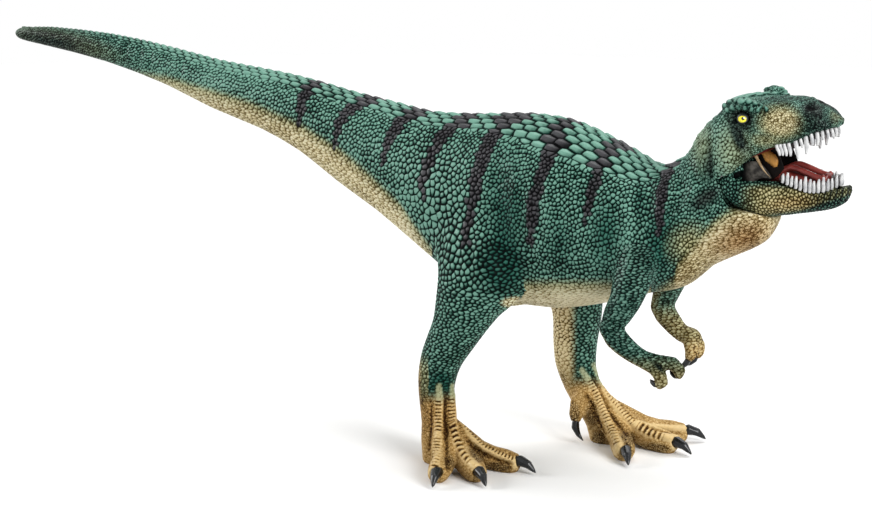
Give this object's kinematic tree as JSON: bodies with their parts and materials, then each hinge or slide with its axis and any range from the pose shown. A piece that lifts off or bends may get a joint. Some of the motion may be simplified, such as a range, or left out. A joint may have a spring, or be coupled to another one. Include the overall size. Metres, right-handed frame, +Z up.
{
  "type": "toy dinosaur figure",
  "caption": "Hand-painted vinyl figure of a large two-legged meat-eating dinosaur, standing with its tail held out level and its hinged lower jaw open.",
  "frame": {"origin": "middle of the figure's outline seen from above, at floor level", "axes": "+X from the tail tip to the snout, +Y to the animal's left, +Z up from the floor"},
  "size_m": [0.2356, 0.0676, 0.0957],
  "materials": {
    "skin": "hand-painted vinyl, green scales with a satin sheen",
    "jaw_skin": "hand-painted vinyl, green-brown to tan, satin",
    "mouth": "painted vinyl, moist red sheen",
    "teeth": "painted ivory white, glossy",
    "claw": "painted black, glossy",
    "eye": "painted yellow with a black pupil, glossy",
    "pin": "plain drawn steel"
  },
  "bodies": {
    "figure": {"torso": "skin", "tail": "skin", "neck": "skin", "skull": "skin", "palate": "mouth", "upper_teeth": "teeth", "jaw_pin": "pin", "right_leg": "skin", "right_arm": "skin", "right_eye": "eye", "right_foot_claw_1": "claw", "right_foot_claw_2": "claw", "right_foot_claw_3": "claw", "right_dew_claw": "claw", "right_hand_claw_1": "claw", "right_hand_claw_2": "claw", "left_leg": "skin", "left_arm": "skin", "left_eye": "eye", "left_foot_claw_1": "claw", "left_foot_claw_2": "claw", "left_foot_claw_3": "claw", "left_dew_claw": "claw", "left_hand_claw_1": "claw", "left_hand_claw_2": "claw"},
    "jaw": {"lower_jaw": "jaw_skin", "lower_teeth": "teeth", "tongue": "mouth"}
  },
  "joints": [
    {"name": "jaw_hinge", "type": "hinge", "parent": "figure", "child": "jaw", "pos_m": [0.08965, 0.00541, 0.0776], "axis": [0, -1, 0], "range_deg": [0, 16]}
  ]
}
